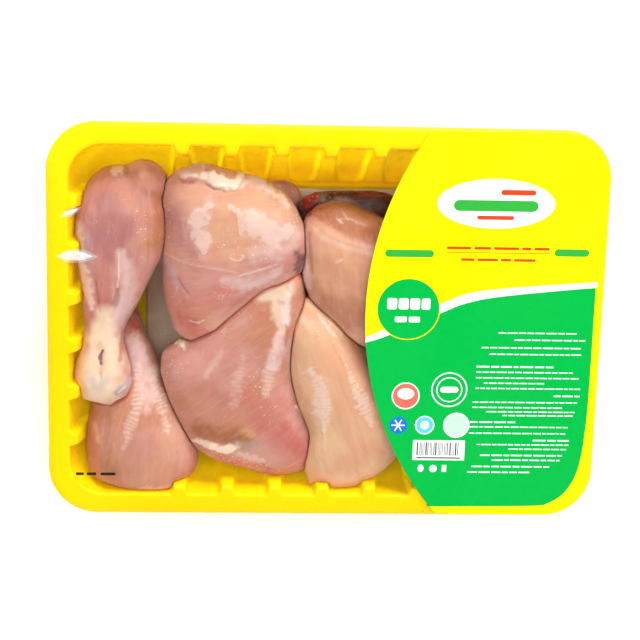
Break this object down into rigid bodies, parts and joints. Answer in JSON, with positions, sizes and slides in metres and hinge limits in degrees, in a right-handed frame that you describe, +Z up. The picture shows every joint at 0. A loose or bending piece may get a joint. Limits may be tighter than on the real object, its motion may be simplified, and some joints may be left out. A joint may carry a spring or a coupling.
{
  "type": "sealed meat tray pack",
  "caption": "Shallow ribbed plastic tray of raw skinless chicken cuts on an absorbent pad, sealed with a clear film that is printed at one end.",
  "frame": {"origin": "under the middle of the tray, at its underside", "axes": "+X along the tray's length towards the printed end of the film, +Y towards the back long side, +Z up through the film"},
  "size_m": [0.27, 0.195, 0.0468],
  "materials": {
    "tray_plastic": "smooth thermoformed yellow plastic, soft gloss",
    "pad": "damp embossed absorbent pad, matte",
    "film": "clear glossy lidding film, printed yellow and green over its right-hand end",
    "dark_meat": "wet raw skinless leg meat, pink with pale fat",
    "breast_meat": "wet raw breast meat, pale beige pink",
    "skin_trim": "wet dark trim with cream fat"
  },
  "bodies": {
    "root": {"tray": "tray_plastic", "soaker_pad": "pad", "drumstick_upper": "dark_meat", "drumstick_lower": "dark_meat", "thigh_upper": "dark_meat", "thigh_lower": "dark_meat", "breast_lower": "breast_meat", "breast_upper": "breast_meat", "trim_back": "skin_trim", "lid_film": "film"}
  },
  "joints": []
}
